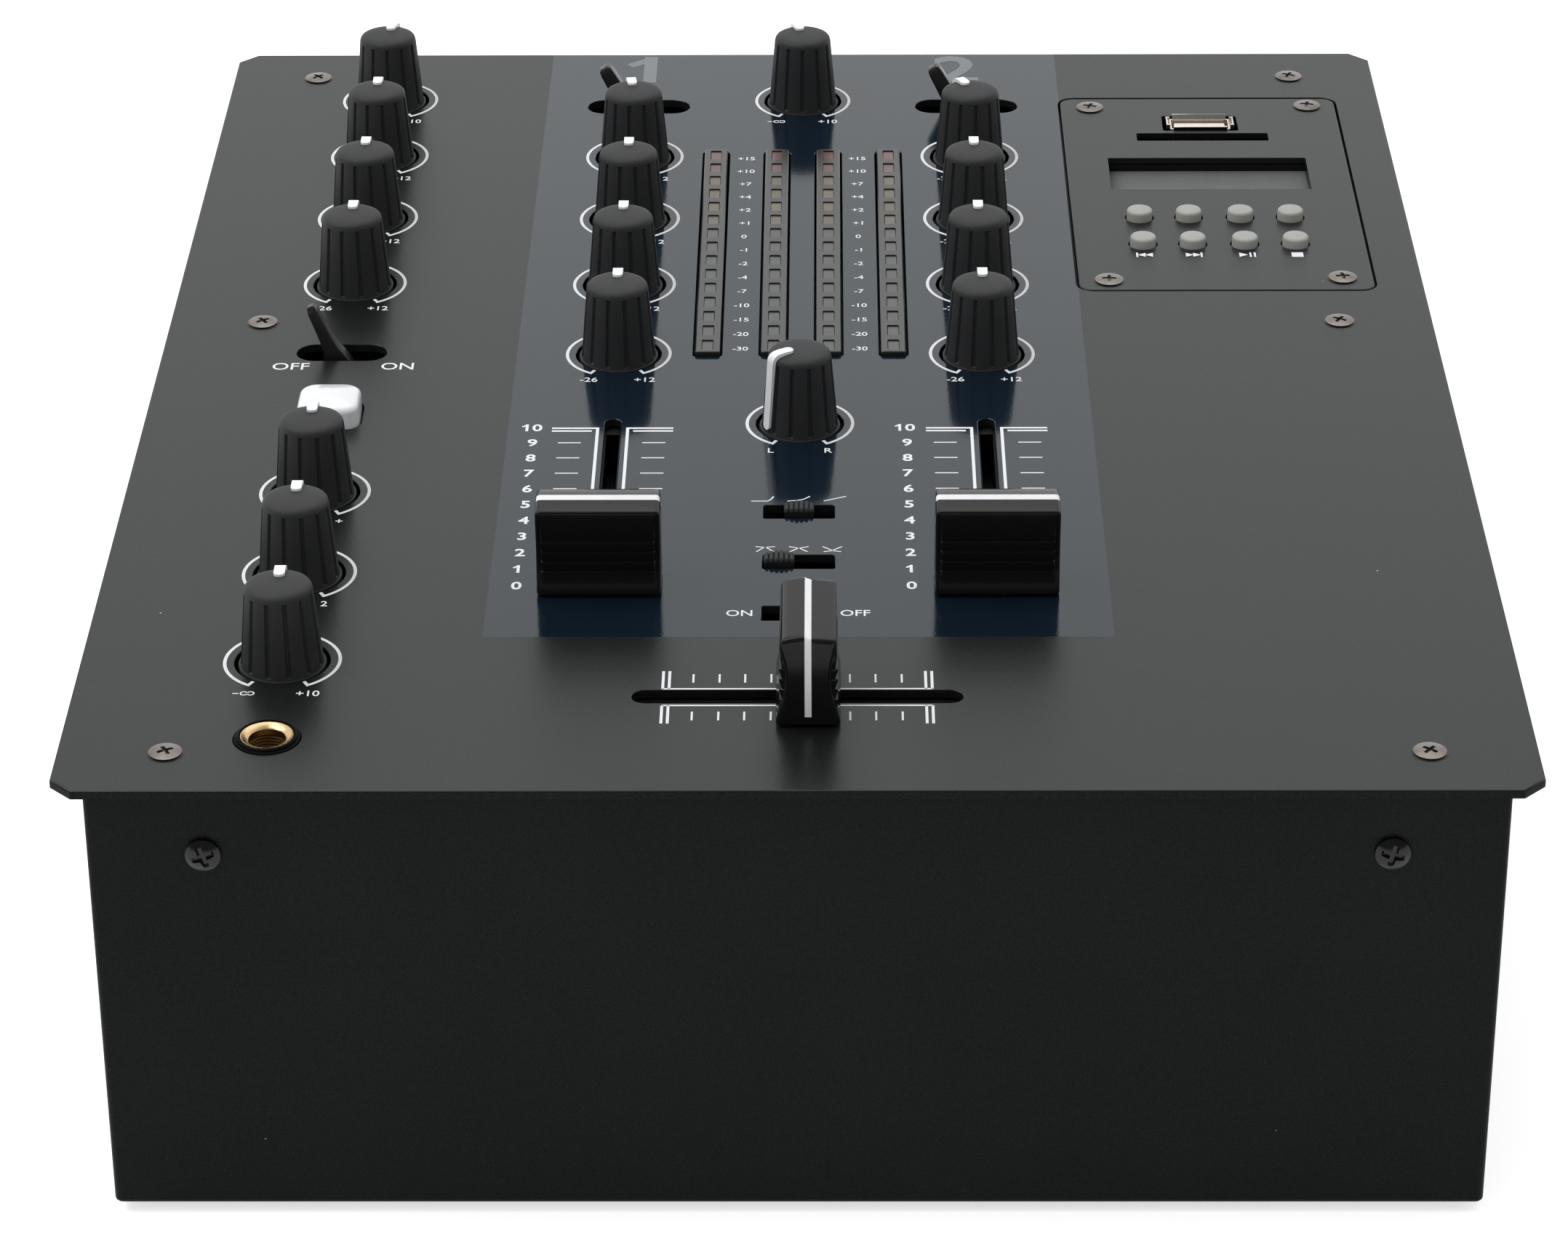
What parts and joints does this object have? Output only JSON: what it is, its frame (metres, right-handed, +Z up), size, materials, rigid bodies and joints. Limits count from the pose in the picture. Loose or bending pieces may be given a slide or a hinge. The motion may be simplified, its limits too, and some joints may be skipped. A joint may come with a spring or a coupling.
{
  "type": "dj mixer",
  "caption": "Desktop DJ mixer: black steel box with an overhanging printed faceplate, fluted knobs, sliding faders, crossfader, bat switches, level meters and a built-in media player.",
  "frame": {"origin": "centre of the base of the whole mixer's box, on the surface that the feet stand on", "axes": "+X to the user's right, +Y from the front edge to the rear connectors, +Z up out of the faceplate"},
  "size_m": [0.254, 0.331, 0.1077],
  "materials": {
    "housing_paint": "fine satin black powder coat",
    "knob_plastic": "matte moulded black",
    "fader_plastic": "polished moulded black",
    "white_plastic": "glossy translucent white",
    "grey_plastic": "matte grey",
    "meter_plastic": "dark strip with unlit red, amber and green lamps",
    "display_panel": "unlit grey liquid-crystal panel",
    "rubber": "matte black rubber",
    "zinc_steel": "zinc-plated sheet",
    "core_steel": "laminated core",
    "nickel": "bright nickel plate",
    "brass": "polished brass",
    "circuit_board": "green circuit board"
  },
  "bodies": {
    "housing": {"power_inlet": "fader_plastic", "ch1_rca_block": "fader_plastic", "ch2_rca_block": "fader_plastic", "output_rca_block": "fader_plastic", "top_plate": "housing_paint", "chassis_tub": "housing_paint", "player_plate": "housing_paint", "top_frame": "zinc_steel", "ch1_fader_body": "zinc_steel", "ch2_fader_body": "zinc_steel", "crossfader_body": "zinc_steel", "power_transformer": "core_steel", "main_board": "circuit_board", "player_board": "circuit_board", "level_meter": "meter_plastic", "player_display": "display_panel", "usb_socket": "nickel", "ground_post": "nickel", "phones_jack": "brass", "mic_jack": "brass", "front_left_foot": "rubber", "front_right_foot": "rubber", "back_left_foot": "rubber", "back_right_foot": "rubber"},
    "mic_level_knob": {"mic_level_knob": "knob_plastic"},
    "mic_high_knob": {"mic_high_knob": "knob_plastic"},
    "mic_mid_knob": {"mic_mid_knob": "knob_plastic"},
    "mic_low_knob": {"mic_low_knob": "knob_plastic"},
    "phones_tone_knob": {"phones_tone_knob": "knob_plastic"},
    "phones_mix_knob": {"phones_mix_knob": "knob_plastic"},
    "phones_level_knob": {"phones_level_knob": "knob_plastic"},
    "ch1_gain_knob": {"ch1_gain_knob": "knob_plastic"},
    "ch1_high_knob": {"ch1_high_knob": "knob_plastic"},
    "ch1_mid_knob": {"ch1_mid_knob": "knob_plastic"},
    "ch1_low_knob": {"ch1_low_knob": "knob_plastic"},
    "ch2_gain_knob": {"ch2_gain_knob": "knob_plastic"},
    "ch2_high_knob": {"ch2_high_knob": "knob_plastic"},
    "ch2_mid_knob": {"ch2_mid_knob": "knob_plastic"},
    "ch2_low_knob": {"ch2_low_knob": "knob_plastic"},
    "master_level_knob": {"master_level_knob": "knob_plastic"},
    "master_balance_knob": {"master_balance_knob": "knob_plastic"},
    "ch1_fader_cap": {"ch1_fader_cap": "fader_plastic"},
    "ch2_fader_cap": {"ch2_fader_cap": "fader_plastic"},
    "crossfader_cap": {"crossfader_cap": "fader_plastic"},
    "talkover_lever": {"talkover_lever": "knob_plastic"},
    "ch1_source_lever": {"ch1_source_lever": "knob_plastic"},
    "ch2_source_lever": {"ch2_source_lever": "knob_plastic"},
    "mic_button": {"mic_button": "white_plastic"},
    "fader_curve_slider": {"fader_curve_slider": "knob_plastic"},
    "cross_curve_slider": {"cross_curve_slider": "knob_plastic"},
    "cross_enable_slider": {"cross_enable_slider": "knob_plastic"},
    "player_button_1": {"player_button_1": "grey_plastic"},
    "player_button_2": {"player_button_2": "grey_plastic"},
    "player_button_3": {"player_button_3": "grey_plastic"},
    "player_button_4": {"player_button_4": "grey_plastic"},
    "player_button_5": {"player_button_5": "grey_plastic"},
    "player_button_6": {"player_button_6": "grey_plastic"},
    "player_button_7": {"player_button_7": "grey_plastic"},
    "player_button_8": {"player_button_8": "grey_plastic"},
    "power_rocker": {"power_rocker": "fader_plastic"}
  },
  "joints": [
    {"name": "mic_level_turn", "type": "hinge", "parent": "housing", "child": "mic_level_knob", "pos_m": [-0.0912, 0.1345, 0.0897], "axis": [0, 0, 1], "range_deg": [-138, 162]},
    {"name": "mic_high_turn", "type": "hinge", "parent": "housing", "child": "mic_high_knob", "pos_m": [-0.0912, 0.1035, 0.0897], "axis": [0, 0, 1], "range_deg": [-150, 150]},
    {"name": "mic_mid_turn", "type": "hinge", "parent": "housing", "child": "mic_mid_knob", "pos_m": [-0.0912, 0.071, 0.0897], "axis": [0, 0, 1], "range_deg": [-150, 150]},
    {"name": "mic_low_turn", "type": "hinge", "parent": "housing", "child": "mic_low_knob", "pos_m": [-0.0912, 0.0382, 0.0897], "axis": [0, 0, 1], "range_deg": [-150, 150]},
    {"name": "phones_tone_turn", "type": "hinge", "parent": "housing", "child": "phones_tone_knob", "pos_m": [-0.0912, -0.055, 0.0897], "axis": [0, 0, 1], "range_deg": [-150, 150]},
    {"name": "phones_mix_turn", "type": "hinge", "parent": "housing", "child": "phones_mix_knob", "pos_m": [-0.0912, -0.0873, 0.0897], "axis": [0, 0, 1], "range_deg": [-150, 150]},
    {"name": "phones_level_turn", "type": "hinge", "parent": "housing", "child": "phones_level_knob", "pos_m": [-0.0912, -0.1202, 0.0897], "axis": [0, 0, 1], "range_deg": [-150, 150]},
    {"name": "ch1_gain_turn", "type": "hinge", "parent": "housing", "child": "ch1_gain_knob", "pos_m": [-0.0361, 0.103, 0.0897], "axis": [0, 0, 1], "range_deg": [-158, 142]},
    {"name": "ch1_high_turn", "type": "hinge", "parent": "housing", "child": "ch1_high_knob", "pos_m": [-0.0361, 0.0705, 0.0897], "axis": [0, 0, 1], "range_deg": [-150, 150]},
    {"name": "ch1_mid_turn", "type": "hinge", "parent": "housing", "child": "ch1_mid_knob", "pos_m": [-0.0361, 0.0378, 0.0897], "axis": [0, 0, 1], "range_deg": [-150, 150]},
    {"name": "ch1_low_turn", "type": "hinge", "parent": "housing", "child": "ch1_low_knob", "pos_m": [-0.0361, 0.005, 0.0897], "axis": [0, 0, 1], "range_deg": [-150, 150]},
    {"name": "ch2_gain_turn", "type": "hinge", "parent": "housing", "child": "ch2_gain_knob", "pos_m": [0.036, 0.103, 0.0897], "axis": [0, 0, 1], "range_deg": [-175, 125]},
    {"name": "ch2_high_turn", "type": "hinge", "parent": "housing", "child": "ch2_high_knob", "pos_m": [0.036, 0.0705, 0.0897], "axis": [0, 0, 1], "range_deg": [-150, 150]},
    {"name": "ch2_mid_turn", "type": "hinge", "parent": "housing", "child": "ch2_mid_knob", "pos_m": [0.036, 0.0378, 0.0897], "axis": [0, 0, 1], "range_deg": [-150, 150]},
    {"name": "ch2_low_turn", "type": "hinge", "parent": "housing", "child": "ch2_low_knob", "pos_m": [0.036, 0.005, 0.0897], "axis": [0, 0, 1], "range_deg": [-150, 150]},
    {"name": "master_level_turn", "type": "hinge", "parent": "housing", "child": "master_level_knob", "pos_m": [0, 0.134, 0.0897], "axis": [0, 0, 1], "range_deg": [-165, 135]},
    {"name": "master_balance_turn", "type": "hinge", "parent": "housing", "child": "master_balance_knob", "pos_m": [0, -0.026, 0.0897], "axis": [0, 0, 1], "range_deg": [-272, 28]},
    {"name": "ch1_fader_slide", "type": "slide", "parent": "housing", "child": "ch1_fader_cap", "axis": [0, 1, 0], "range_m": [0, 0.06]},
    {"name": "ch2_fader_slide", "type": "slide", "parent": "housing", "child": "ch2_fader_cap", "axis": [0, 1, 0], "range_m": [0, 0.06]},
    {"name": "crossfader_slide", "type": "slide", "parent": "housing", "child": "crossfader_cap", "axis": [1, 0, 0], "range_m": [-0.0244, 0.0206]},
    {"name": "talkover_throw", "type": "hinge", "parent": "housing", "child": "talkover_lever", "pos_m": [-0.0912, 0.0058, 0.0857], "axis": [0, 1, 0], "range_deg": [0, 44]},
    {"name": "ch1_source_throw", "type": "hinge", "parent": "housing", "child": "ch1_source_lever", "pos_m": [-0.0361, 0.1308, 0.0857], "axis": [0, 1, 0], "range_deg": [0, 44]},
    {"name": "ch2_source_throw", "type": "hinge", "parent": "housing", "child": "ch2_source_lever", "pos_m": [0.036, 0.1308, 0.0857], "axis": [0, 1, 0], "range_deg": [0, 44]},
    {"name": "mic_button_press", "type": "slide", "parent": "housing", "child": "mic_button", "axis": [0, 0, -1], "range_m": [0, 0.003], "stiffness_N_per_m": 400},
    {"name": "fader_curve_shift", "type": "slide", "parent": "housing", "child": "fader_curve_slider", "axis": [1, 0, 0], "range_m": [-0.0036, 0.0036]},
    {"name": "cross_curve_shift", "type": "slide", "parent": "housing", "child": "cross_curve_slider", "axis": [1, 0, 0], "range_m": [0, 0.0072]},
    {"name": "cross_enable_shift", "type": "slide", "parent": "housing", "child": "cross_enable_slider", "axis": [1, 0, 0], "range_m": [-0.0072, 0]},
    {"name": "player_button_1_press", "type": "slide", "parent": "housing", "child": "player_button_1", "axis": [0, 0, -1], "range_m": [0, 0.0008], "stiffness_N_per_m": 400},
    {"name": "player_button_2_press", "type": "slide", "parent": "housing", "child": "player_button_2", "axis": [0, 0, -1], "range_m": [0, 0.0008], "stiffness_N_per_m": 400},
    {"name": "player_button_3_press", "type": "slide", "parent": "housing", "child": "player_button_3", "axis": [0, 0, -1], "range_m": [0, 0.0008], "stiffness_N_per_m": 400},
    {"name": "player_button_4_press", "type": "slide", "parent": "housing", "child": "player_button_4", "axis": [0, 0, -1], "range_m": [0, 0.0008], "stiffness_N_per_m": 400},
    {"name": "player_button_5_press", "type": "slide", "parent": "housing", "child": "player_button_5", "axis": [0, 0, -1], "range_m": [0, 0.0008], "stiffness_N_per_m": 400},
    {"name": "player_button_6_press", "type": "slide", "parent": "housing", "child": "player_button_6", "axis": [0, 0, -1], "range_m": [0, 0.0008], "stiffness_N_per_m": 400},
    {"name": "player_button_7_press", "type": "slide", "parent": "housing", "child": "player_button_7", "axis": [0, 0, -1], "range_m": [0, 0.0008], "stiffness_N_per_m": 400},
    {"name": "player_button_8_press", "type": "slide", "parent": "housing", "child": "player_button_8", "axis": [0, 0, -1], "range_m": [0, 0.0008], "stiffness_N_per_m": 400},
    {"name": "power_rocker_tip", "type": "hinge", "parent": "housing", "child": "power_rocker", "pos_m": [0.0745, 0.156, 0.048], "axis": [1, 0, 0], "range_deg": [0, 16]}
  ]
}
